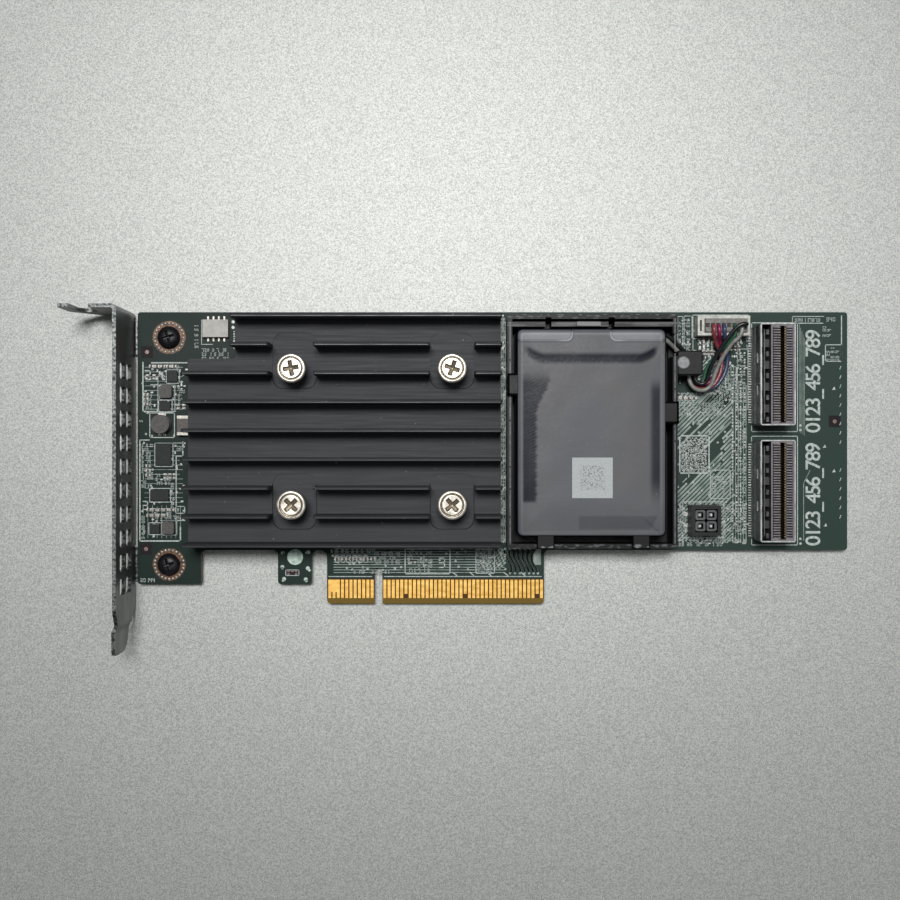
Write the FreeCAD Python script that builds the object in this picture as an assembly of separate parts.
import FreeCAD, Part
import math
import os

os.makedirs("parts", exist_ok=True)

Vector = FreeCAD.Vector
X_AXIS = Vector(1, 0, 0)
Y_AXIS = Vector(0, 1, 0)
Z_AXIS = Vector(0, 0, 1)

# A low-profile server storage controller card, in millimetres.
# Origin: middle of the key slot at the insertion edge of the edge connector, on the component
# face of the board. X runs along the board away from the slot bracket, Y from the edge
# connector to the far long edge, Z out of the component face.

# ---------------------------------------------------------------- driving dimensions

# circuit board
board_thickness = 1.57
board_length = 167.65
key_to_board_left = 56.9
board_height = 68.9
tongue_height = 12.7
board_corner = 0.7
mount_tab_width = 15.0
mount_tab_drop = 8.0
cutout_corner = 1.2
key_to_hook = 15.8
hook_width = 7.95
hook_drop = 8.0
key_to_tongue_left = 12.15
key_to_tongue_right = 39.1
tongue_corner = 0.9
key_width = 1.9
key_depth = 8.6
bevel_length = 1.37
bevel_depth = 0.5

# edge contacts
contact_pitch = 1.0
contact_width = 0.7
contact_length = 4.33
contact_thickness = 0.05
key_to_first_contact = 1.5
contacts_left = 11
contacts_right = 38
joined_contacts = 3
short_contacts = (6, 20, 37)
short_contact_step = 1.0

# bracket screws and the copper rings they land on
bracket_screw_from_left = 7.45
bracket_screw_lower = 9.3
bracket_screw_spacing = 53.6
bracket_screw_dia = 2.9
bracket_screw_head = 5.3
bracket_screw_head_height = 1.7
bracket_screw_past_ear = 0.3
bracket_recess_span = 2.9
bracket_recess_arm = 0.6
bracket_recess_depth = 1.0
bracket_recess_turn = 20.0
ring_dia = 7.8
ring_thickness = 0.06
screw_clearance = 0.2

# slot bracket
sheet = 0.86
bracket_gap = 1.1
bracket_width = 18.42
bracket_below_board_face = 3.0
bracket_top = 69.15
bracket_bend = 0.5
bracket_wide_end = 0.0
bracket_taper = 3.6
tongue_width = 12.4
tongue_above_edge = 4.1
tongue_tip = 10.4
tongue_tip_corner_low = 5.5
tongue_tip_corner_high = 1.5
tongue_offset = 0.7
tab_reach = 12.3
tab_full_width_reach = 5.0
tab_cut_height = 9.0
screw_notch_width = 4.4
screw_notch_depth = 10.0
screw_notch_from_face = 7.6
vent_rows = 10
vent_pitch = 5.49
vent_first = 5.0
vent_height = 3.8
vent_width = 4.7
vent_rib = 0.9
vent_above_edge = 4.6
vent_corner = 0.6
ear_width = 8.0
ear_reach = 12.4
ear_relief = 0.8
ear_relief_height = 2.4
ear_corner = 2.0

# heat sink
sink_left = -44.0
sink_length = 72.7
sink_bottom_edge = 14.13
sink_under = 3.0
sink_base = 2.0
fin_count = 9
fin_pitch = 6.54
fin_thickness = 0.86
fin_height = 8.0
fin_end_slope = 0.3
fin_edge = 0.14
sink_notch_length = 11.0
sink_notch_width = 9.8
sink_corner = 0.6
pocket_length = 10.2
pocket_width = 12.9
pocket_corner = 2.4
pocket_sink = 0.25
land_drop = 0.9

# heat sink screws, springs and standoffs
sink_screw_left = -19.2
sink_screw_span = 36.6
sink_screw_lower = 23.75
sink_screw_rise = 31.1
sink_screw_head = 6.7
sink_screw_head_height = 1.9
sink_screw_top = 12.3
sink_screw_shoulder = 3.6
sink_screw_thread = 2.4
head_ring_dia = 5.07
head_ring_width = 0.24
head_ring_depth = 0.3
head_edge = 0.25
recess_span = 3.5
recess_arm = 0.75
recess_depth = 1.1
recess_turn = (45.0, 40.0, 10.0, -20.0)
spring_wire = 0.6
spring_turns = 3
spring_sides = 4
spring_turn_chords = 12
spring_clearance = 0.2
standoff_corners = 5.4
standoff_height = 2.7
standoff_shank = 4.1

# processor and memory under the heat sink
processor_side = 27.0
processor_carrier = 0.9
processor_lid_inset = 2.0
processor_lid_height = 1.4
memory_length = 11.0
memory_width = 7.5
memory_height = 1.1
memory_count = 4
memory_pitch = 10.4
memory_first = 16.4
memory_to_sink_edge = 3.0

# battery tray, pack and label
tray_left = 30.05
tray_length = 39.05
tray_lower = 13.65
tray_width = 53.8
tray_wall = 1.1
tray_floor = 1.0
tray_height = 9.0
tray_corner = 0.8
latch_wall = 1.15
latch_groove = 0.65
latch_notch = 1.4
latch_notch_from_left = (8.7, 23.2)
catch_length = 5.4
catch_from_left = 15.9
catch_rise = 0.9
catch_root = 0.5
pack_gap = 0.85
pack_gap_right = 1.65
pack_gap_lower = 1.65
pack_gap_upper = 0.45
pack_height = 9.9
pack_flange_height = 8.5
pack_flange = 1.1
pack_corner = 1.5
pack_step_length = 12.6
pack_step_width = 2.7
pack_step_drop = 0.35
pack_crown_chamfer = 0.6
clip_length = 5.0
clip_thickness = 1.1
clip_hook = 0.9
clip_hook_height = 0.8
clip_clearance = 0.1
clip_rise_left = 37.6
clip_rise_right = 31.2
lower_clip_length = 4.0
lower_clip_hook = 0.5
lower_clips_from_left = (8.7, 30.5)
label_side = 9.25
label_thickness = 0.08
label_from_left = 12.7
label_from_lower = 8.9

# cable clamp, its pin and the battery wires
clamp_from_tray = 0.9
clamp_length = 5.1
clamp_lower = 53.5
clamp_width = 5.7
clamp_height = 8.0
clamp_roof = 2.1
clamp_corner = 0.4
pin_from_clamp_left = 0.55
pin_dia = 2.9
pin_shank = 1.3
pin_head = 0.5
wire_dia = 0.95
wire_sides = 6
wire_bend_chords = 4
wire_gap = 0.12
wire_exit_below_tray_top = 5.05
wire_exit_height = 3.4
wire_lowest = 1.75
wire_column_from_clamp = 2.6
wire_slant = 0.717
clamp_wire_room = 0.2
channel_turn_room = 2.5
wire_into_plug = 0.4

# battery header and plug
header_from_tray = 5.5
header_length = 12.2
header_lower = 63.0
header_width = 4.6
header_height = 4.4
header_wall = 0.65
header_floor = 0.8
header_end = 1.55
header_key_slot = 0.45
header_key_from_end = 0.5
header_tail_width = 0.4
header_tail_reach = 1.4
header_tail_height = 0.35
plug_clearance = 0.05
plug_height = 4.2
plug_positions = 8
plug_pitch = 1.25
plug_hole = 1.0
plug_hole_depth = 0.42

# tall cable ports
port_from_tray = 18.95
port_width = 8.05
port_length = 23.45
port_lower = 15.15
port_rise = 26.8
port_height = 9.2
port_shell = 0.3
latch_room = 2.2
port_slot_width = 1.6
port_slot_depth = 6.0
port_slot_end = 0.3
port_contact_pitch = 0.6
port_contact_width = 0.3
port_contact_thickness = 0.35
port_contact_below_top = 0.45
port_window_shares = (0.3, 0.62)
port_window_length = 2.4
port_window_top = 1.6
port_window_depth = 1.8
latch_lump_shares = (0.12, 0.34, 0.56, 0.78)
latch_lump_length = 1.8
latch_lump_below_top = 2.4
latch_floor = 1.2

# small 2x2 header
small_from_tray = 3.9
small_length = 6.8
small_lower = 16.4
small_width = 7.0
small_height = 5.6
small_wall = 0.8
small_pitch = 2.6
small_pin = 0.6
small_well_floor = 1.4
silo_gap = 0.15
silo_below_top = 0.6
silo_bore = 1.3
silo_floor = 1.6
small_pin_below_top = 1.4
small_tail_reach = 1.0
small_tail_width = 0.8
small_tail_height = 0.4

# ---------------------------------------------------------------- derived places

board_left = -key_to_board_left
board_right = board_left + board_length
board_underside = -board_thickness
bracket_screw_x = board_left + bracket_screw_from_left
bracket_screw_ys = (bracket_screw_lower, bracket_screw_lower + bracket_screw_spacing)
bracket_face = board_left - bracket_gap
sink_screw_places = []
for screw_row in range(2):
    for screw_column in range(2):
        screw_x = sink_screw_left + screw_column * sink_screw_span
        screw_y = sink_screw_lower + screw_row * sink_screw_rise
        sink_screw_places.append((screw_x, screw_y))
sink_top_of_base = sink_under + sink_base
pocket_floor = sink_top_of_base - pocket_sink
spring_inner = sink_screw_shoulder + 2 * spring_clearance
screw_seat = sink_screw_top - sink_screw_head_height
tray_right = tray_left + tray_length
tray_upper = tray_lower + tray_width
clamp_left = tray_right + clamp_from_tray
clamp_right = clamp_left + clamp_length
header_left = tray_right + header_from_tray
small_left = tray_right + small_from_tray
port_left = tray_right + port_from_tray
pack_left = tray_left + tray_wall + pack_gap
pack_right = tray_right - tray_wall - pack_gap_right
pack_lower = tray_lower + tray_wall + pack_gap_lower
pack_upper = tray_upper - tray_wall - latch_groove - latch_wall - pack_gap_upper
pack_top = tray_floor + pack_height

wire_step = wire_dia + wire_gap
wire_column = clamp_left + wire_column_from_clamp
wire_columns = (wire_column, wire_column + wire_step)
wire_layers = (wire_lowest, wire_lowest + wire_step, wire_lowest + 2 * wire_step)
port_slot_length = port_length - 2 * port_shell - 2 * port_slot_end
port_contacts = int((port_slot_length - port_contact_width) / port_contact_pitch) + 1

# ---------------------------------------------------------------- shared operations


def block(x0, x1, y0, y1, z0, z1):
    return Part.makeBox(x1 - x0, y1 - y0, z1 - z0, Vector(x0, y0, z0))


def rod(x, y, z0, z1, dia):
    return Part.makeCylinder(dia / 2, z1 - z0, Vector(x, y, z0))


def corner_arc(before, corner, after, radius):
    """Tangent arc that rounds one corner of a path; returns its two ends and its middle."""
    to_before = (before - corner).normalize()
    to_after = (after - corner).normalize()
    half = to_before.getAngle(to_after) / 2
    reach = radius / math.tan(half)
    bisector = (to_before + to_after).normalize()
    middle = corner + bisector * (radius / math.sin(half) - radius)
    return corner + to_before * reach, middle, corner + to_after * reach


def rounded_loop(corners, plane=lambda u, v: Vector(u, v, 0)):
    """Closed face from (u, v, radius) corners; radius 0 leaves a corner sharp."""
    points = [plane(u, v) for u, v, radius in corners]
    starts = []
    edges = []
    for i, (u, v, radius) in enumerate(corners):
        if radius > 0:
            after = points[(i + 1) % len(points)]
            first, middle, last = corner_arc(points[i - 1], points[i], after, radius)
            edges.append(Part.Arc(first, middle, last).toShape())
            starts.append((first, last))
        else:
            starts.append((points[i], points[i]))
    for i, (first, last) in enumerate(starts):
        following = starts[(i + 1) % len(starts)][0]
        if last.distanceToPoint(following) > 1e-6:
            edges.append(Part.makeLine(last, following))
    return Part.Face(Part.Wire(Part.__sortEdges__(edges)))


def cut_plate(x0, x1, y0, y1, z0, z1, cut):
    """Plate with its four upright corners cut off straight."""
    corners = [
        Vector(x0 + cut, y0, z0), Vector(x1 - cut, y0, z0),
        Vector(x1, y0 + cut, z0), Vector(x1, y1 - cut, z0),
        Vector(x1 - cut, y1, z0), Vector(x0 + cut, y1, z0),
        Vector(x0, y1 - cut, z0), Vector(x0, y0 + cut, z0),
    ]
    return Part.Face(Part.makePolygon(corners + corners[:1])).extrude(Vector(0, 0, z1 - z0))


def rounded_path(points, radii):
    """Open wire of straight runs joined by tangent arcs; one radius for each inner point."""
    edges = []
    start = points[0]
    for i, radius in enumerate(radii):
        first, middle, last = corner_arc(points[i], points[i + 1], points[i + 2], radius)
        edges.append(Part.LineSegment(start, first).toShape())
        edges.append(Part.Arc(first, middle, last).toShape())
        start = last
    edges.append(Part.LineSegment(start, points[-1]).toShape())
    return Part.Wire(edges)


def rounded_plate(x0, x1, y0, y1, z0, z1, radius):
    face = rounded_loop([(x0, y0, radius), (x1, y0, radius), (x1, y1, radius), (x0, y1, radius)])
    face.translate(Vector(0, 0, z0))
    return face.extrude(Vector(0, 0, z1 - z0))


def bent_strip(points, radii, section_corners):
    """Sheet metal strip: a rectangular section swept along straight runs and bends."""
    path = rounded_path(points, radii)
    section = Part.makePolygon(section_corners + section_corners[:1])
    return path.makePipeShell([section], True, False)


def cross_recess(x, y, top, span, arm, depth, turn):
    long_arm = block(-span / 2, span / 2, -arm / 2, arm / 2, -depth, 1)
    cross = long_arm.fuse(block(-arm / 2, arm / 2, -span / 2, span / 2, -depth, 1))
    cross.rotate(Vector(0, 0, 0), Z_AXIS, turn)
    cross.translate(Vector(x, y, top))
    return cross


def polygon_ring(centre, across, up, radius, sides):
    """Closed wire with equal sides round a centre, such as a section that stands for a round one."""
    ring = []
    for corner in range(sides):
        angle = 2 * math.pi * (corner + 0.5) / sides
        ring.append(centre + across * (radius * math.cos(angle)) + up * (radius * math.sin(angle)))
    return Part.makePolygon(ring + ring[:1])


def save(name, solids):
    shape = solids if not isinstance(solids, list) else Part.makeCompound(solids)
    shape.exportStep(f"parts/{name}.step")


# ---------------------------------------------------------------- circuit board


def board_outline():
    tab_right = board_left + mount_tab_width
    hook_right = -key_to_hook
    hook_left = hook_right - hook_width
    hook_low = tongue_height - hook_drop
    tongue_left = -key_to_tongue_left
    arch = (tongue_left - hook_right) / 2 - 0.02
    return rounded_loop(
        [
            (board_left, tongue_height - mount_tab_drop, board_corner),
            (tab_right, tongue_height - mount_tab_drop, board_corner),
            (tab_right, tongue_height, cutout_corner),
            (hook_left, tongue_height, cutout_corner),
            (hook_left, hook_low, board_corner),
            (hook_right, hook_low, board_corner),
            (hook_right, tongue_height, arch),
            (tongue_left, tongue_height, arch),
            (tongue_left, 0, tongue_corner),
            (key_to_tongue_right, 0, tongue_corner),
            (key_to_tongue_right, tongue_height, cutout_corner),
            (board_right, tongue_height, board_corner),
            (board_right, board_height, board_corner),
            (board_left, board_height, board_corner),
        ]
    )


def insertion_bevels():
    """Two wedges that bevel both faces of the tongue at its insertion edge."""
    left = -key_to_tongue_left - 1
    span = key_to_tongue_left + key_to_tongue_right + 2
    wedges = []
    for face, into in ((0, -1), (board_underside, 1)):
        corners = [
            Vector(left, -1, face - into),
            Vector(left, bevel_length, face - into),
            Vector(left, bevel_length, face),
            Vector(left, 0, face + into * bevel_depth),
            Vector(left, -1, face + into * bevel_depth),
        ]
        wedge = Part.Face(Part.makePolygon(corners + corners[:1]))
        wedges.append(wedge.extrude(Vector(span, 0, 0)))
    return wedges


def circuit_board():
    outline = board_outline()
    outline.translate(Vector(0, 0, board_underside))
    board = outline.extrude(Vector(0, 0, board_thickness))
    key = rounded_loop(
        [
            (-key_width / 2, -1, 0),
            (key_width / 2, -1, 0),
            (key_width / 2, key_depth, key_width / 2 - 0.01),
            (-key_width / 2, key_depth, key_width / 2 - 0.01),
        ]
    )
    key.translate(Vector(0, 0, board_underside - 1))
    cuts = [key.extrude(Vector(0, 0, board_thickness + 2))]
    cuts += insertion_bevels()
    for y in bracket_screw_ys:
        dia = bracket_screw_dia + 2 * screw_clearance
        cuts.append(rod(bracket_screw_x, y, board_underside - 1, 1, dia))
    for x, y in sink_screw_places:
        cuts.append(rod(x, y, board_underside - 1, 1, standoff_shank))
    pin_x, pin_y = clamp_pin_place()
    cuts.append(rod(pin_x, pin_y, board_underside - 1, 1, pin_shank + screw_clearance))
    return board.cut(cuts)


def edge_contacts():
    """Gold fingers on both faces: one bank each side of the key, in one row of equal pitch."""
    pads = []
    start = bevel_length
    end = start + contact_length
    for z in (0, board_underside - contact_thickness):
        top = z + contact_thickness
        for n in range(contacts_left - joined_contacts):
            x = -key_to_first_contact - n * contact_pitch
            pads.append(block(x - contact_width / 2, x + contact_width / 2, start, end, z, top))
        outer = -key_to_first_contact - (contacts_left - 1) * contact_pitch
        inner = outer + (joined_contacts - 1) * contact_pitch
        joined = block(outer - contact_width / 2, inner + contact_width / 2, start, end, z, top)
        slits = []
        for n in range(joined_contacts - 1):
            x = outer + (n + 0.5) * contact_pitch
            slit = (contact_pitch - contact_width) / 2
            slits.append(block(x - slit, x + slit, start - 1, start + contact_length / 3, z, top))
        pads.append(joined.cut(slits))
        for n in range(contacts_right):
            x = key_to_first_contact + n * contact_pitch
            low = start + short_contact_step if n + 1 in short_contacts else start
            pads.append(block(x - contact_width / 2, x + contact_width / 2, low, end, z, top))
    return pads


# ---------------------------------------------------------------- bracket and its screws


def mounting_rings():
    bore = bracket_screw_dia + 2 * screw_clearance
    rings = []
    for y in bracket_screw_ys:
        ring = rod(bracket_screw_x, y, 0, ring_thickness, ring_dia)
        rings.append(ring.cut(rod(bracket_screw_x, y, -1, 1, bore)))
    return rings


def ear_strip(y):
    """One ear: leaves the bracket's plate and folds in under the board."""
    middle = bracket_face - sheet / 2
    level = board_underside - sheet / 2
    start = Vector(middle, y, level + 3 * sheet)
    corner = Vector(middle, y, level)
    end = Vector(bracket_face + ear_reach, y, level)
    half = ear_width / 2
    section = []
    for across, along in ((-1, -1), (1, -1), (1, 1), (-1, 1)):
        section.append(start + Vector(across * sheet / 2, along * half, 0))
    ear = bent_strip([start, corner, end], [bracket_bend + sheet / 2], section)
    tip = end.x
    trim = rounded_plate(
        bracket_face - 3 * sheet, tip, y - half, y + half, level - 5, level + 5, ear_corner
    )
    ear = ear.common(trim)
    return ear.cut(rod(bracket_screw_x, y, level - sheet, level + sheet, bracket_screw_dia + 0.02))


def bracket_outline():
    """Front view of the bracket plate: full width, taper and the narrow tongue that seats it."""
    low = -bracket_below_board_face
    high = low + bracket_width
    tongue_low = low + tongue_above_edge
    tongue_high = tongue_low + tongue_width
    narrow = bracket_wide_end - bracket_taper
    face = rounded_loop(
        [
            (bracket_top + 5, low, 0),
            (bracket_top + 5, high, 0),
            (bracket_wide_end, high, 1.5),
            (narrow, tongue_high, 1.0),
            (-tongue_tip, tongue_high, tongue_tip_corner_high),
            (-tongue_tip, tongue_low, tongue_tip_corner_low),
            (narrow, tongue_low, 1.0),
            (bracket_wide_end, low, 1.5),
        ],
        lambda u, v: Vector(bracket_face - 40, u, v),
    )
    return face.extrude(Vector(50, 0, 0))


def vent_cutter(x, y, z):
    """Solid that cuts one vent: a rectangle with its corners cut off straight, z at its low edge."""
    half = vent_height / 2
    high = z + vent_width
    cut = vent_corner
    corners = [
        Vector(x, y - half + cut, z), Vector(x, y + half - cut, z),
        Vector(x, y + half, z + cut), Vector(x, y + half, high - cut),
        Vector(x, y + half - cut, high), Vector(x, y - half + cut, high),
        Vector(x, y - half, high - cut), Vector(x, y - half, z + cut),
    ]
    return Part.Face(Part.makePolygon(corners + corners[:1])).extrude(Vector(sheet + 2, 0, 0))


def bracket():
    low = -bracket_below_board_face
    high = low + bracket_width
    middle = bracket_face - sheet / 2
    outer = bracket_face - sheet
    tab_level = bracket_top - sheet / 2
    tab_end = outer - tab_reach
    jog = bracket_wide_end - bracket_taper
    start = Vector(tab_end, tab_level, low)
    points = [
        start,
        Vector(middle, tab_level, low),
        Vector(middle, jog, low),
        Vector(middle - tongue_offset, jog - 2 * tongue_offset, low),
        Vector(middle - tongue_offset, -tongue_tip, low),
    ]
    section = []
    for across, z in ((-1, low), (1, low), (1, high), (-1, high)):
        section.append(Vector(tab_end, tab_level + across * sheet / 2, z))
    plate = bent_strip(points, [bracket_bend + sheet / 2, sheet, sheet], section)
    plate = plate.common(bracket_outline())

    cuts = []
    for row in range(vent_rows):
        y = vent_first + row * vent_pitch
        for column in range(2):
            z = low + vent_above_edge + column * (vent_width + vent_rib)
            cuts.append(vent_cutter(outer - 1, y, z))

    notch_x = outer - screw_notch_from_face
    notch_end = high - screw_notch_depth + screw_notch_width / 2
    half = screw_notch_width / 2
    slot_low = bracket_top - 2
    cuts.append(block(notch_x - half, notch_x + half, slot_low, slot_low + 3, notch_end, high + 1))
    cuts.append(Part.makeCylinder(half, 3, Vector(notch_x, slot_low, notch_end), Y_AXIS))
    corners = [
        Vector(outer - tab_full_width_reach, slot_low, low - 0.01),
        Vector(tab_end - 0.01, slot_low, low + tab_cut_height),
        Vector(tab_end - 0.01, slot_low, low - 0.01),
    ]
    cuts.append(Part.Face(Part.makePolygon(corners + corners[:1])).extrude(Vector(0, 3, 0)))
    for y in bracket_screw_ys:
        reach = ear_width / 2 + ear_relief
        relief_top = low + ear_relief_height
        cuts.append(block(outer - 1, bracket_face + 1, y - reach, y + reach, low - 1, relief_top))
    plate = plate.cut(cuts)
    ears = [ear_strip(y) for y in bracket_screw_ys]
    return plate.fuse(ears).removeSplitter()


def bracket_screws():
    screws = []
    tip = board_underside - sheet - bracket_screw_past_ear
    for y in bracket_screw_ys:
        dome = Part.makeCylinder(bracket_screw_head / 2, bracket_screw_head_height,
                                 Vector(bracket_screw_x, y, ring_thickness))
        rim = [edge for edge in dome.Edges if edge.BoundBox.ZMin > ring_thickness + 0.5
               and len(edge.Vertexes) == 1]
        dome = dome.makeChamfer(bracket_screw_head_height * 0.4, rim)
        shank = rod(bracket_screw_x, y, tip, ring_thickness + 0.2, bracket_screw_dia)
        top = ring_thickness + bracket_screw_head_height
        recess = cross_recess(bracket_screw_x, y, top, bracket_recess_span, bracket_recess_arm,
                              bracket_recess_depth, bracket_recess_turn)
        screws.append(dome.fuse(shank).cut(recess))
    return screws


# ---------------------------------------------------------------- heat sink


def fin_segment(x0, x1, y):
    """One length of fin: sloped end corners and fine chamfers along its top."""
    low = sink_top_of_base - 0.5
    top = sink_top_of_base + fin_height
    corners = [
        Vector(x0, y - fin_thickness / 2, low),
        Vector(x1, y - fin_thickness / 2, low),
        Vector(x1, y - fin_thickness / 2, top - fin_end_slope),
        Vector(x1 - fin_end_slope, y - fin_thickness / 2, top),
        Vector(x0 + fin_end_slope, y - fin_thickness / 2, top),
        Vector(x0, y - fin_thickness / 2, top - fin_end_slope),
    ]
    fin = Part.Face(Part.makePolygon(corners + corners[:1])).extrude(Vector(0, fin_thickness, 0))
    ridges = []
    for edge in fin.Edges:
        flat = edge.BoundBox.ZMin > top - 0.01
        if flat and edge.BoundBox.XLength > fin_end_slope:
            ridges.append(edge)
    return fin.makeChamfer(fin_edge, ridges)


def pocket_centres():
    """Each pocket is centred in Y on the pair of fins that it interrupts."""
    lower_pair = fin_y(1) / 2 + fin_y(2) / 2
    upper_pair = fin_y(fin_count - 3) / 2 + fin_y(fin_count - 2) / 2
    centres = []
    for y in (lower_pair, upper_pair):
        for column in range(2):
            centres.append((sink_screw_left + column * sink_screw_span, y))
    return centres


def fin_y(n):
    return sink_bottom_edge + fin_thickness / 2 + n * fin_pitch


def heat_sink():
    right = sink_left + sink_length
    lower = sink_bottom_edge
    upper = fin_y(fin_count - 1) + fin_thickness / 2
    notch_x = sink_left + sink_notch_length
    notch_y = upper - sink_notch_width
    base = rounded_loop(
        [
            (sink_left, lower, sink_corner),
            (right, lower, sink_corner),
            (right, upper, sink_corner),
            (notch_x, upper, sink_corner),
            (notch_x, notch_y, sink_corner),
            (sink_left, notch_y, sink_corner),
        ]
    )
    base.translate(Vector(0, 0, sink_under))
    body = base.extrude(Vector(0, 0, sink_base))

    fins = []
    for n in range(fin_count):
        y = fin_y(n)
        left = notch_x if y + fin_thickness > notch_y else sink_left
        breaks = [x for x, py in pocket_centres() if abs(py - y) < pocket_width / 2]
        begin = left
        for x in breaks:
            fins.append(fin_segment(begin, x - pocket_length / 2, y))
            begin = x + pocket_length / 2
        fins.append(fin_segment(begin, right, y))

    lands = []
    for x, y in memory_places():
        lands.append(block(x - memory_length / 2, x + memory_length / 2, y - memory_width / 2,
                           y + memory_width / 2, sink_under - land_drop, sink_under + 0.5))
    body = body.fuse(fins + lands)

    cuts = []
    for x, y in pocket_centres():
        cuts.append(
            rounded_plate(
                x - pocket_length / 2, x + pocket_length / 2, y - pocket_width / 2,
                y + pocket_width / 2, pocket_floor, sink_top_of_base + fin_height + 1, pocket_corner,
            )
        )
    for x, y in sink_screw_places:
        cuts.append(rod(x, y, sink_under - 1, sink_top_of_base, sink_screw_shoulder + 0.3))
    return body.cut(cuts).removeSplitter()


def shoulder_screw(x, y, turn):
    """Pan-flat head with a turned ring groove, a plain shoulder and a short threaded end."""
    head = sink_screw_head / 2
    ring = head_ring_dia / 2
    shoulder = sink_screw_shoulder / 2
    thread = sink_screw_thread / 2
    top = sink_screw_top
    groove = top - head_ring_depth
    standoff_top = standoff_height
    profile = [
        Vector(0, 0, board_underside + 0.2),
        Vector(thread, 0, board_underside + 0.2),
        Vector(thread, 0, standoff_top),
        Vector(shoulder, 0, standoff_top),
        Vector(shoulder, 0, screw_seat),
        Vector(head, 0, screw_seat),
        Vector(head, 0, top - head_edge),
        Vector(head - head_edge, 0, top),
        Vector(ring + head_ring_width / 2, 0, top),
        Vector(ring + head_ring_width / 2, 0, groove),
        Vector(ring - head_ring_width / 2, 0, groove),
        Vector(ring - head_ring_width / 2, 0, top),
        Vector(0, 0, top),
    ]
    screw = Part.Face(Part.makePolygon(profile + profile[:1])).revolve(Vector(0, 0, 0), Z_AXIS, 360)
    screw.translate(Vector(x, y, 0))
    return screw.cut(cross_recess(x, y, top, recess_span, recess_arm, recess_depth, turn))


def heat_sink_screws():
    screws = []
    for (x, y), turn in zip(sink_screw_places, recess_turn):
        screws.append(shoulder_screw(x, y, turn))
    return screws


def heat_sink_springs():
    """Open coil springs from the pocket floor to the underside of each screw head."""
    radius = (spring_inner + spring_wire) / 2
    low = pocket_floor + spring_wire / 2 + 0.02
    height = screw_seat - pocket_floor - spring_wire - 0.04
    springs = []
    for x, y in sink_screw_places:
        path = []
        for n in range(spring_turns * spring_turn_chords + 1):
            turn = n / spring_turn_chords
            angle = 2 * math.pi * turn
            rise = height * turn / spring_turns
            path.append(Vector(radius * math.cos(angle), radius * math.sin(angle), rise))
        section = polygon_ring(path[0], X_AXIS, Z_AXIS, spring_wire / 2, spring_sides)
        coil = Part.makePolygon(path).makePipeShell([section], True, False, 1)
        coil.translate(Vector(x, y, low))
        springs.append(coil)
    return springs


def heat_sink_standoffs():
    nuts = []
    for x, y in sink_screw_places:
        hexagon = polygon_ring(Vector(x, y, 0), X_AXIS, Y_AXIS, standoff_corners / 2, 6)
        nut = Part.Face(hexagon).extrude(Vector(0, 0, standoff_height))
        nut = nut.fuse(rod(x, y, board_underside, 0.5, standoff_shank))
        nuts.append(nut.cut(rod(x, y, board_underside - 1, standoff_height + 1, sink_screw_thread + 0.05)))
    return nuts


# ---------------------------------------------------------------- processor and memory


def processor_place():
    """Processor sits midway between the four heat sink screws."""
    x = sink_screw_left + sink_screw_span / 2
    y = sink_screw_lower + sink_screw_rise / 2
    return x, y


def processor_carrier_plate():
    x, y = processor_place()
    half = processor_side / 2
    return cut_plate(x - half, x + half, y - half, y + half, 0, processor_carrier, 0.4)


def processor_lid():
    x, y = processor_place()
    half = processor_side / 2 - processor_lid_inset
    top = processor_carrier + processor_lid_height
    return cut_plate(x - half, x + half, y - half, y + half, processor_carrier, top, 0.6)


def processor_thermal_pad():
    x, y = processor_place()
    half = processor_side / 2 - processor_lid_inset - 1
    low = processor_carrier + processor_lid_height
    return block(x - half, x + half, y - half, y + half, low, sink_under)


def memory_places():
    x = sink_left + memory_to_sink_edge + memory_length / 2
    places = []
    for n in range(memory_count):
        places.append((x, memory_first + memory_width / 2 + n * memory_pitch))
    return places


def memory_chips():
    chips = []
    for x, y in memory_places():
        half_length = memory_length / 2
        half_width = memory_width / 2
        chips.append(block(x - half_length, x + half_length, y - half_width, y + half_width,
                           0, memory_height))
    return chips


def memory_gap_pads():
    pads = []
    for x, y in memory_places():
        half_length = memory_length / 2 - 0.5
        half_width = memory_width / 2 - 0.5
        pads.append(block(x - half_length, x + half_length, y - half_width, y + half_width,
                          memory_height, sink_under - land_drop))
    return pads


# ---------------------------------------------------------------- battery tray and pack


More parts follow.
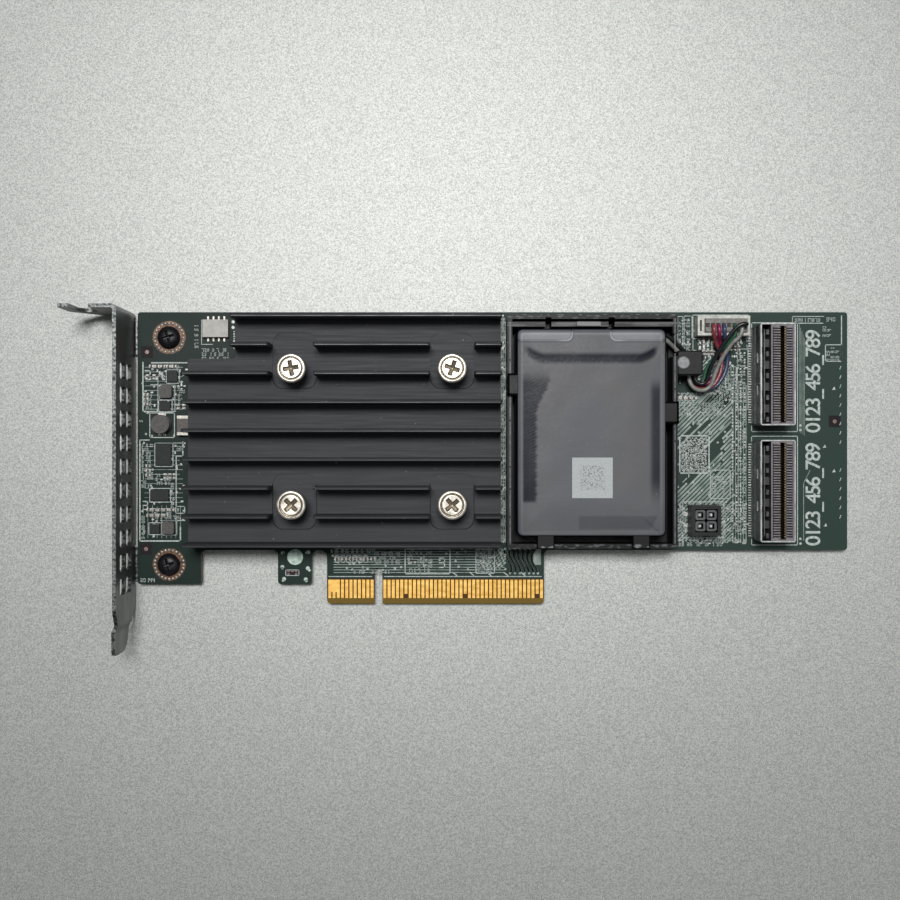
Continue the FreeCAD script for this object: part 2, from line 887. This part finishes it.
def battery_tray():
    """Open moulding: floor, four walls, a double upper wall with its latch, and four clips."""
    tray = rounded_plate(tray_left, tray_right, tray_lower, tray_upper, 0, tray_height, tray_corner)
    inner_upper = tray_upper - tray_wall
    latch_outer = inner_upper - latch_groove
    latch_inner = latch_outer - latch_wall
    inside_left = tray_left + tray_wall
    inside_right = tray_right - tray_wall
    top = tray_height + 1
    cuts = [
        block(inside_left, inside_right, tray_lower + tray_wall, latch_inner, tray_floor, top),
        block(inside_left, inside_right, latch_outer, inner_upper, tray_floor, top),
    ]
    for offset in latch_notch_from_left:
        x = tray_left + offset
        cuts.append(block(x, x + latch_notch, latch_inner - 1, latch_outer + 1, tray_floor + 2, top))
    wire_gate = wire_gate_range()
    cuts.append(block(inside_right - 1, tray_right + 1, wire_gate[0], wire_gate[1], wire_gate[2], top))
    tray = tray.cut(cuts)

    catch_x = tray_left + catch_from_left
    catch = block(catch_x, catch_x + catch_length, latch_inner - 0.05, latch_outer,
                  tray_height - catch_root, tray_height + catch_rise)
    clips = [catch]
    hook_low = tray_floor + pack_flange_height + clip_clearance
    hook_top = hook_low + clip_hook_height
    for x, side, pack_side, rise in ((tray_left, 1, pack_left, clip_rise_left),
                                     (tray_right, -1, pack_right, clip_rise_right)):
        y = tray_lower + rise
        tip = pack_side + side * clip_hook
        outer, inner = sorted((x, x + side * clip_thickness))
        low, high = y - clip_length / 2, y + clip_length / 2
        clips.append(block(outer, inner, low, high, tray_height - 1, hook_top))
        a, b = sorted((x, tip))
        clips.append(block(a, b, low, high, hook_low, hook_top))
    for offset in lower_clips_from_left:
        a = tray_left + offset - lower_clip_length / 2
        b = a + lower_clip_length
        clips.append(block(a, b, tray_lower, tray_lower + clip_thickness, tray_height - 1, hook_top))
        clips.append(block(a, b, tray_lower, pack_lower + lower_clip_hook, hook_low, hook_top))
    return tray.fuse(clips).removeSplitter()


def wire_gate_range():
    """Gate in the tray's right wall that lets the wires out: lower and upper Y, and its sill."""
    middle = tray_upper - wire_exit_below_tray_top - wire_slant * (tray_right - pack_right)
    half = wire_step + wire_dia + 0.6
    sill = wire_lowest + wire_exit_height / 2 - wire_dia / 2
    return middle - half, middle + half, sill


def battery_pack():
    """Film-wrapped pack: a flange all round, a crowned upper half and two stepped corners."""
    flange_top = tray_floor + pack_flange_height
    body = rounded_plate(pack_left, pack_right, pack_lower, pack_upper, tray_floor, flange_top,
                         pack_corner)
    crown = rounded_plate(pack_left + pack_flange, pack_right - pack_flange, pack_lower + pack_flange,
                          pack_upper - 0.01, flange_top - 0.5, pack_top, pack_corner)
    rim = [edge for edge in crown.Edges if edge.BoundBox.ZMin > pack_top - 0.01]
    crown = crown.makeChamfer(pack_crown_chamfer, rim)
    steps = []
    for x0, x1 in ((pack_left - 1, pack_left + pack_step_length),
                   (pack_right - pack_step_length, pack_right + 1)):
        steps.append(block(x0, x1, pack_upper - pack_step_width, pack_upper + 1,
                           pack_top - pack_step_drop, pack_top + 1))
    return body.fuse(crown).cut(steps).removeSplitter()


def battery_label():
    x = pack_left + label_from_left
    y = pack_lower + label_from_lower
    return block(x, x + label_side, y, y + label_side, pack_top, pack_top + label_thickness)


# ---------------------------------------------------------------- cable clamp and wires


def clamp_pin_place():
    return clamp_left + pin_from_clamp_left, clamp_lower + clamp_width / 2


def wire_channel(column):
    """Passage that follows one column of wires from the pack, round its bend, past the clamp."""
    start_x, start_y, bend_x, bend_y = wire_start_and_bend(column)
    low = wire_lowest - wire_dia / 2 - clamp_wire_room
    high = clamp_height - clamp_roof
    half = wire_dia / 2 + clamp_wire_room
    begin = Vector(start_x, start_y, low)
    turn = Vector(bend_x, bend_y, low)
    end = Vector(bend_x, clamp_lower - 1, low)
    across = Vector(turn.y - begin.y, begin.x - turn.x, 0).normalize() * half
    rise = Vector(0, 0, high - low)
    section = [begin - across, begin + across, begin + across + rise, begin - across + rise]
    below = Vector(bend_x, clamp_lower - channel_turn_room, low)
    leg = min(begin.distanceToPoint(turn), turn.distanceToPoint(below))
    half_turn = (math.pi - (begin - turn).getAngle(end - turn)) / 2
    radius = min(0.45 * leg / math.tan(half_turn), 0.9 * (turn.y - end.y) / math.tan(half_turn))
    return bent_strip([begin, turn, end], [radius], section)


def cable_clamp():
    """Block bridging the wires: an upright by the tray, a roof, and a leg at the far side."""
    upper = clamp_lower + clamp_width
    body = cut_plate(tray_right + 0.05, clamp_right, clamp_lower, upper, 0, clamp_height, clamp_corner)
    rim = [edge for edge in body.Edges if edge.BoundBox.ZMin > clamp_height - 0.01]
    body = body.makeChamfer(0.3, rim)
    pin_x, pin_y = clamp_pin_place()
    cuts = [rod(pin_x, pin_y, -1, clamp_height + 1, pin_shank + screw_clearance)]
    cuts += [wire_channel(column) for column in range(2)]
    return body.cut(cuts)


def clamp_pin():
    pin_x, pin_y = clamp_pin_place()
    head = rod(pin_x, pin_y, clamp_height, clamp_height + pin_head, pin_dia)
    rim = [edge for edge in head.Edges if edge.BoundBox.ZMin > clamp_height + pin_head - 0.01]
    head = head.makeChamfer(pin_head * 0.4, rim)
    return head.fuse(rod(pin_x, pin_y, board_underside - 0.4, clamp_height + 0.1, pin_shank))


def plug_x(position):
    middle = header_left + header_end + (header_length - header_end - header_wall) / 2
    return middle + (position - (plug_positions + 1) / 2) * plug_pitch


def wire_start_and_bend(column):
    """Where one column of wires leaves the pack and turns under the clamp, seen from above."""
    slope_length = math.hypot(1, wire_slant)
    rise = (column - 0.5) * wire_step * slope_length
    start_x = pack_right + wire_dia / 3
    start_y = tray_upper - wire_exit_below_tray_top + rise
    bend_x = wire_columns[column]
    return start_x, start_y, bend_x, start_y - wire_slant * (bend_x - start_x)


def wire_route(column, layer, loop, position, drop):
    """Points of one wire: out of the pack, under the clamp, round its loop and into the plug."""
    start_x, start_y, bend_x, bend_y = wire_start_and_bend(column)
    z = wire_layers[layer]
    plug_y = header_lower + header_width / 2
    points = [Vector(start_x, start_y, z + wire_exit_height), Vector(bend_x, bend_y, z)]
    points += loop
    points.append(Vector(plug_x(position), plug_y, drop))
    points.append(Vector(plug_x(position), plug_y, header_floor + plug_height - wire_into_plug))
    return points


def chord_points(first, corner, last, chords):
    """Points on the arc that leaves one straight run at first and meets the next at last."""
    to_first = first - corner
    to_last = last - corner
    sweep = math.pi - to_first.getAngle(to_last)
    if sweep < 1e-6:
        return [first]
    bisector = (to_first + to_last).normalize()
    radius = to_first.Length / math.tan(sweep / 2)
    centre = corner + bisector * (radius / math.cos(sweep / 2))
    across = (first - centre).normalize()
    onward = (corner - first).normalize()
    points = []
    for n in range(chords + 1):
        angle = sweep * n / chords
        points.append(centre + across * (radius * math.cos(angle)) + onward * (radius * math.sin(angle)))
    return points


def wire_tube(points):
    """Insulated wire along straight runs and bends as wide as the runs allow, each in chords."""
    path = [points[0]]
    for before, corner, after in zip(points, points[1:], points[2:]):
        reach = 0.45 * min(before.distanceToPoint(corner), corner.distanceToPoint(after))
        first = corner + (before - corner).normalize() * reach
        last = corner + (after - corner).normalize() * reach
        path += chord_points(first, corner, last, wire_bend_chords)
    path.append(points[-1])
    heading = (points[1] - points[0]).normalize()
    across = heading.cross(Z_AXIS).normalize()
    section = polygon_ring(points[0], across, across.cross(heading), wire_dia / 2, wire_sides)
    return Part.makePolygon(path).makePipeShell([section], True, False, 1)


def beside(dx, dy, z):
    """Point at a height, placed from the clamp's lower corner on the side of the wires' loops."""
    return Vector(clamp_right + dx, clamp_lower + dy, z)


def battery_wires():
    """Six wires, by column and layer in the clamp; each has its own loop, position and height."""
    low, middle, high = wire_layers
    left, right = (column - clamp_right for column in wire_columns)
    routes = {
        "battery_wire_black": wire_route(1, 2, [
            beside(right, -1.2, high), beside(1.5, -2.1, high), beside(2.3, 2.5, 5.2),
            beside(5.2, 7.9, 7.4), beside(8.1, 11.7, 8.7)], 8, 8.7),
        "battery_wire_white": wire_route(0, 2, [
            beside(left, -2.8, high), beside(2.4, -3.6, high), beside(4.0, 2.5, 4.9),
            beside(6.8, 7.4, 6.5), beside(9.1, 9.3, 7.3)], 7, 7.3),
        "battery_wire_green": wire_route(1, 1, [
            beside(right, -1.4, middle), beside(1.2, -1.7, middle), beside(1.4, 1.8, 3.2),
            beside(5.5, 6.9, 5.0), beside(7.9, 9.1, 6.4)], 6, 6.4),
        "battery_wire_red": wire_route(0, 1, [
            beside(left, -2.5, middle), beside(2.8, -3.2, middle), beside(5.3, 0.8, middle),
            beside(5.5, 5.1, middle), beside(3.8, 7.9, 3.6), beside(2.95, 9.7, 6.1)], 2, 6.1),
        "battery_wire_magenta": wire_route(1, 0, [
            beside(right, -1.4, low), beside(2.1, -2.2, low), beside(4.6, 1.1, low),
            beside(5.9, 4.9, low), beside(5.0, 7.8, 2.3), beside(4.2, 9.7, 5.9)], 3, 5.9),
        "battery_wire_blue": wire_route(0, 0, [
            beside(left, -2.6, low), beside(3.5, -3.4, low), beside(6.6, 0.8, low),
            beside(7.1, 5.1, 2.0), beside(6.2, 7.9, 3.4), beside(5.4, 9.6, 5.9)], 4, 5.9),
    }
    return {name: wire_tube(points) for name, points in routes.items()}


# ---------------------------------------------------------------- battery header and plug


def battery_header():
    right = header_left + header_length
    upper = header_lower + header_width
    body = block(header_left, right, header_lower, upper, 0, header_height)
    well = block(header_left + header_end, right - header_wall, header_lower + header_wall,
                 upper - header_wall, header_floor, header_height + 1)
    key_left = header_left + header_key_from_end
    key_slot = block(key_left, key_left + header_key_slot, header_lower + 1, upper - 1,
                     header_floor, header_height + 1)
    return body.cut([well, key_slot])


def battery_plug():
    left = header_left + header_end + plug_clearance
    right = header_left + header_length - header_wall - plug_clearance
    lower = header_lower + header_wall + plug_clearance
    upper = header_lower + header_width - header_wall - plug_clearance
    top = header_floor + plug_height
    body = block(left, right, lower, upper, header_floor, top)
    rim = [edge for edge in body.Edges if edge.BoundBox.ZMin > top - 0.01]
    body = body.makeChamfer(0.15, rim)
    holes = []
    for position in range(1, plug_positions + 1):
        x = plug_x(position)
        y = header_lower + header_width / 2
        half = plug_hole / 2
        holes.append(block(x - half, x + half, y - half, y + half, top - plug_hole_depth, top + 1))
    return body.cut(holes)


def battery_header_pins():
    """Square tails that leave the header's lower side and lie on the board."""
    tails = []
    for position in range(1, plug_positions + 1):
        x = plug_x(position) - header_tail_width / 2
        tails.append(block(x, x + header_tail_width, header_lower - header_tail_reach, header_lower,
                           0, header_tail_height))
    return tails


# ---------------------------------------------------------------- tall cable ports


def port_lowers():
    return (port_lower, port_lower + port_rise)


def port_shell_tube(lower):
    """Drawn sheet shell round the moulding: four walls, with two latch windows in one."""
    right = port_left + port_width
    upper = lower + port_length
    wall = port_shell
    outside = rounded_plate(port_left, right, lower, upper, 0, port_height, 0.5)
    inside = block(port_left + wall, right - wall, lower + wall, upper - wall, -1, port_height + 1)
    shell = outside.cut(inside)
    windows = []
    window_top = port_height - port_window_top
    for share in port_window_shares:
        y = lower + port_length * share
        windows.append(block(port_left - 1, port_left + wall + 0.1, y, y + port_window_length,
                             window_top - port_window_depth, window_top))
    return shell.cut(windows)


def port_housing(lower):
    """Moulding inside the shell: latch room on one side, a deep card slot on the other."""
    left = port_left + port_shell
    right = port_left + port_width - port_shell
    low = lower + port_shell
    upper = lower + port_length - port_shell
    body = block(left, right, low, upper, 0, port_height - 0.3)
    slot_left = port_slot_left()
    cuts = [
        block(left - 1, left + latch_room, low - 1, upper + 1, latch_floor, port_height),
        block(slot_left, slot_left + port_slot_width, low + port_slot_end, upper - port_slot_end,
              port_height - port_slot_depth, port_height),
    ]
    body = body.cut(cuts)
    blocks = []
    for share in latch_lump_shares:
        y = low + share * (upper - low)
        blocks.append(block(left + 0.3, left + latch_room, y, y + latch_lump_length, latch_floor - 0.2,
                            port_height - latch_lump_below_top))
    return body.fuse(blocks).removeSplitter()


def port_slot_left():
    moulding_left = port_left + port_shell + latch_room
    moulding_right = port_left + port_width - port_shell
    return (moulding_left + moulding_right - port_slot_width) / 2


def port_contact_rows(lower):
    """Two facing rows of spring contacts on the walls of the card slot."""
    contacts = []
    slot_left = port_slot_left()
    slot_right = slot_left + port_slot_width
    middle = lower + port_length / 2
    low = port_height - port_slot_depth
    for n in range(port_contacts):
        y = middle + (n - (port_contacts - 1) / 2) * port_contact_pitch
        y0 = y - port_contact_width / 2
        y1 = y + port_contact_width / 2
        top = port_height - port_contact_below_top
        contacts.append(block(slot_left, slot_left + port_contact_thickness, y0, y1, low, top))
        contacts.append(block(slot_right - port_contact_thickness, slot_right, y0, y1, low, top))
    return contacts


# ---------------------------------------------------------------- small 2x2 header


def small_header():
    right = small_left + small_length
    upper = small_lower + small_width
    middle_x = small_left + small_length / 2
    middle_y = small_lower + small_width / 2
    body = block(small_left, right, small_lower, upper, 0, small_height)
    well = block(small_left + small_wall, right - small_wall, small_lower + small_wall,
                 upper - small_wall, small_well_floor, small_height + 1)
    body = body.cut(well)
    silos = []
    half = small_pitch / 2 - silo_gap
    bore = silo_bore / 2
    for dx in (-1, 1):
        for dy in (-1, 1):
            x = middle_x + dx * small_pitch / 2
            y = middle_y + dy * small_pitch / 2
            silo = cut_plate(x - half, x + half, y - half, y + half, small_well_floor - 0.2,
                             small_height - silo_below_top, 0.3)
            silos.append(silo.cut(block(x - bore, x + bore, y - bore, y + bore, silo_floor,
                                        small_height)))
    return body.fuse(silos)


def small_header_pins():
    middle_x = small_left + small_length / 2
    middle_y = small_lower + small_width / 2
    pins = []
    for dx in (-1, 1):
        for dy in (-1, 1):
            x = middle_x + dx * small_pitch / 2
            y = middle_y + dy * small_pitch / 2
            pins.append(block(x - small_pin / 2, x + small_pin / 2, y - small_pin / 2,
                              y + small_pin / 2, silo_floor, small_height - small_pin_below_top))
            side = middle_x + dx * small_length / 2
            a, b = sorted((side, side + dx * small_tail_reach))
            pins.append(block(a, b, y - small_tail_width / 2, y + small_tail_width / 2, 0,
                              small_tail_height))
    return pins


# ---------------------------------------------------------------- small parts on the board

flash_left = -41.3
flash_length = 6.0
flash_lower = 62.9
flash_width = 4.1
flash_height = 1.6
lead_count = 4
lead_pitch = 1.27

coil_places = ((-50.0, 50.05, 2.9), (-49.4, 18.0, 2.8))
coil_height = 1.8
drum_place = (-51.1, 42.4)
drum_dia = 4.4
drum_length = 5.2
drum_height = 2.6
regulator_places = (
    (-48.6, 53.7, 2.4, 2.5),
    (-50.35, 46.7, 2.5, 2.1),
    (-50.7, 35.2, 3.6, 4.8),
    (-51.6, 25.65, 4.2, 2.5),
    (-52.75, 17.75, 2.3, 2.1),
)
regulator_height = 0.85
bulk_place = (-45.9, 42.1)
bulk_length = 4.6
bulk_width = 2.6
bulk_height = 2.0
chip_length = 1.0
chip_width = 0.5
chip_height = 0.45
chip_end = 0.24
chip_row_starts = (
    (-53.6, 56.1, 1.35),
    (-54.6, 53.6, 1.6),
    (-54.9, 47.2, 1.1),
    (-47.3, 46.6, 1.3),
    (-50.4, 30.2, 1.1),
    (-54.4, 30.4, 1.1),
    (-54.2, 22.2, 1.35),
    (-54.2, 20.9, 1.35),
    (-9.8, 10.6, 1.7),
    (tray_right + 1.5, 48.6, 1.3),
    (header_left + 2.3, header_lower - 3.6, 0.95),
    (header_left + 8.6, header_lower - 2.6, 0.95),
)
underside_columns = 5
underside_rows = 5
underside_pitch = 2.6


def flash_chip():
    upper = flash_lower + flash_width
    return block(flash_left, flash_left + flash_length, flash_lower, upper, 0.1, flash_height)


def flash_chip_leads():
    leads = []
    middle = flash_left + flash_length / 2
    for n in range(lead_count):
        x = middle + (n - (lead_count - 1) / 2) * lead_pitch
        for y0, y1 in ((flash_lower - 0.9, flash_lower),
                       (flash_lower + flash_width, flash_lower + flash_width + 0.9)):
            leads.append(block(x - 0.2, x + 0.2, y0, y1, 0, 0.25))
    return leads


def moulded_coils():
    coils = []
    for x, y, side in coil_places:
        half = side / 2
        coils.append(cut_plate(x - half, x + half, y - half, y + half, 0, coil_height, 0.35))
    return coils


def drum_coil():
    x, y = drum_place
    lower_disc = rod(x, y, 0.2, 0.7, drum_dia)
    core = rod(x, y, 0.6, drum_height - 0.4, drum_dia * 0.78)
    upper_disc = rod(x, y, drum_height - 0.5, drum_height, drum_dia)
    return lower_disc.fuse([core, upper_disc])


def drum_coil_ends():
    x, y = drum_place
    ends = []
    for side in (-1, 1):
        outer = y + side * drum_length / 2
        inner = outer - side * 1.1
        a, b = sorted((outer, inner))
        ends.append(block(x - 0.9, x + 0.9, a, b, 0, 0.19))
    return ends


def regulator_chips():
    chips = []
    for x, y, length, width in regulator_places:
        left = x - length / 2
        low = y - width / 2
        chips.append(block(left, left + length, low, low + width, 0, regulator_height))
    return chips


def bulk_capacitor():
    x, y = bulk_place
    half = bulk_length / 2 - 0.7
    return block(x - bulk_width / 2, x + bulk_width / 2, y - half, y + half, 0.05, bulk_height)


def bulk_capacitor_ends():
    x, y = bulk_place
    inner = bulk_length / 2 - 0.7
    outer = bulk_length / 2
    half = bulk_width / 2
    return [
        block(x - half, x + half, y - outer, y - inner, 0, bulk_height),
        block(x - half, x + half, y + inner, y + outer, 0, bulk_height),
    ]


def chip_part(x, y, turn, face, way):
    """One chip capacitor: its ceramic body and its two plated ends, on either face."""
    half = chip_length / 2
    inner = half - chip_end
    z0, z1 = sorted((face, face + way * chip_height))
    body = block(-inner, inner, -chip_width / 2, chip_width / 2, z0, z1)
    ends = [
        block(-half, -inner, -chip_width / 2, chip_width / 2, z0, z1),
        block(inner, half, -chip_width / 2, chip_width / 2, z0, z1),
    ]
    for solid in [body] + ends:
        solid.rotate(Vector(0, 0, 0), Z_AXIS, turn)
        solid.translate(Vector(x, y, 0))
    return body, ends


def chip_parts():
    """Rows of chips from their first centres: how many, whether the row climbs in Y, its turn."""
    layouts = (
        (5, False, 0), (2, False, 90), (3, True, 0), (2, False, 90), (3, False, 90), (3, True, 0),
        (5, False, 0), (4, False, 0), (6, False, 0), (4, False, 0), (3, False, 90), (3, False, 90),
    )
    bodies = []
    ends = []
    for (x, y, pitch), (count, climbs, turn) in zip(chip_row_starts, layouts):
        for n in range(count):
            dx = 0 if climbs else n * pitch
            dy = n * pitch if climbs else 0
            body, caps = chip_part(x + dx, y + dy, turn, 0, 1)
            bodies.append(body)
            ends += caps
    return bodies, ends


def underside_parts():
    bodies = []
    ends = []
    middle_x, middle_y = processor_place()
    for column in range(underside_columns):
        for row in range(underside_rows):
            x = middle_x + (column - (underside_columns - 1) / 2) * underside_pitch
            y = middle_y + (row - (underside_rows - 1) / 2) * underside_pitch
            body, caps = chip_part(x, y, 90, board_underside, -1)
            bodies.append(body)
            ends += caps
    return bodies, ends


# ---------------------------------------------------------------- write every sub-part

save("circuit_board", circuit_board())
save("edge_contacts", edge_contacts())
save("mounting_rings", mounting_rings())
save("bracket", bracket())
save("bracket_screws", bracket_screws())
save("heat_sink", heat_sink())
save("heat_sink_screws", heat_sink_screws())
save("heat_sink_springs", heat_sink_springs())
save("heat_sink_standoffs", heat_sink_standoffs())
save("processor_carrier", processor_carrier_plate())
save("processor_lid", processor_lid())
save("processor_thermal_pad", processor_thermal_pad())
save("memory_chips", memory_chips())
save("memory_gap_pads", memory_gap_pads())
save("battery_tray", battery_tray())
save("battery_pack", battery_pack())
save("battery_label", battery_label())
save("cable_clamp", cable_clamp())
save("clamp_pin", clamp_pin())
for wire_name, tube in battery_wires().items():
    save(wire_name, tube)
save("battery_header", battery_header())
save("battery_plug", battery_plug())
save("battery_header_pins", battery_header_pins())
for level, lower in zip(("lower", "upper"), port_lowers()):
    save(f"port_{level}_shell", port_shell_tube(lower))
    save(f"port_{level}_housing", port_housing(lower))
    save(f"port_{level}_contacts", port_contact_rows(lower))
save("small_header", small_header())
save("small_header_pins", small_header_pins())
save("flash_chip", flash_chip())
save("flash_chip_leads", flash_chip_leads())
save("moulded_coils", moulded_coils())
save("drum_coil", drum_coil())
save("drum_coil_ends", drum_coil_ends())
save("regulator_chips", regulator_chips())
save("bulk_capacitor", bulk_capacitor())
save("bulk_capacitor_ends", bulk_capacitor_ends())
chip_bodies, chip_ends = chip_parts()
save("chip_bodies", chip_bodies)
save("chip_ends", chip_ends)
underside_bodies, underside_ends = underside_parts()
save("underside_chip_bodies", underside_bodies)
save("underside_chip_ends", underside_ends)
